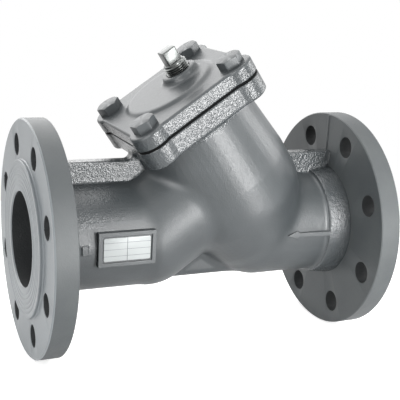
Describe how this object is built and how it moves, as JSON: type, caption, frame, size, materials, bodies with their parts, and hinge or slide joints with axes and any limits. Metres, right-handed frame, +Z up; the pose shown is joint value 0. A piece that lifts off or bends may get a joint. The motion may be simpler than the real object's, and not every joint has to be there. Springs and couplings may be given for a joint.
{
  "type": "flanged y strainer",
  "caption": "Cast-iron Y-pattern mesh strainer with a flange at each pipe end, a slanted branch with a bolted square cover, a drain plug and a lift-out screen basket.",
  "frame": {"origin": "centre of the outlet flange's bolted face, on the pipe axis, 3 mm behind the end of its raised face", "axes": "+X along the pipe axis from the outlet to the inlet, +Z up, in the plane of the slanted branch"},
  "size_m": [0.31, 0.2, 0.2622],
  "materials": {
    "cast_iron_painted": "grey semi-gloss paint over as-cast iron",
    "screws": "painted over with the casting",
    "gasket": "matt black sheet",
    "zinc_plug": "bright zinc plate",
    "stainless_sheet": "mill finish",
    "stainless_mesh": "fine woven wire",
    "plate": "satin white"
  },
  "bodies": {
    "strainer_body": {"body": "cast_iron_painted", "name_plate": "plate"},
    "cover": {"cover": "cast_iron_painted"},
    "gasket": {"cover_gasket": "gasket"},
    "screen": {"screen_tube": "stainless_sheet", "screen_mesh": "stainless_mesh", "screen_low_ring": "stainless_sheet", "screen_top_ring": "stainless_sheet"},
    "plug": {"drain_plug": "zinc_plug"},
    "screw_1": {"cover_screw_1": "screws"},
    "screw_2": {"cover_screw_2": "screws"},
    "screw_3": {"cover_screw_3": "screws"},
    "screw_4": {"cover_screw_4": "screws"}
  },
  "joints": [
    {"name": "cover_lift", "type": "slide", "parent": "strainer_body", "child": "cover", "axis": [-0.5736, 0, 0.8192], "range_m": [0, 0.26]},
    {"name": "gasket_lift", "type": "slide", "parent": "strainer_body", "child": "gasket", "axis": [-0.5736, 0, 0.8192], "range_m": [0, 0.195]},
    {"name": "screen_pull", "type": "slide", "parent": "strainer_body", "child": "screen", "axis": [-0.5736, 0, 0.8192], "range_m": [0, 0.13]},
    {"name": "plug_draw", "type": "slide", "parent": "cover", "child": "plug", "axis": [-0.5736, 0, 0.8192], "range_m": [0, 0.03]},
    {"name": "screw_1_draw", "type": "slide", "parent": "cover", "child": "screw_1", "axis": [-0.5736, 0, 0.8192], "range_m": [0, 0.045]},
    {"name": "screw_2_draw", "type": "slide", "parent": "cover", "child": "screw_2", "axis": [-0.5736, 0, 0.8192], "range_m": [0, 0.045]},
    {"name": "screw_3_draw", "type": "slide", "parent": "cover", "child": "screw_3", "axis": [-0.5736, 0, 0.8192], "range_m": [0, 0.045]},
    {"name": "screw_4_draw", "type": "slide", "parent": "cover", "child": "screw_4", "axis": [-0.5736, 0, 0.8192], "range_m": [0, 0.045]}
  ],
  "couplings": [
    {"joint": "gasket_lift", "follows": "cover_lift", "ratio": 0.75},
    {"joint": "screen_pull", "follows": "cover_lift", "ratio": 0.5}
  ]
}
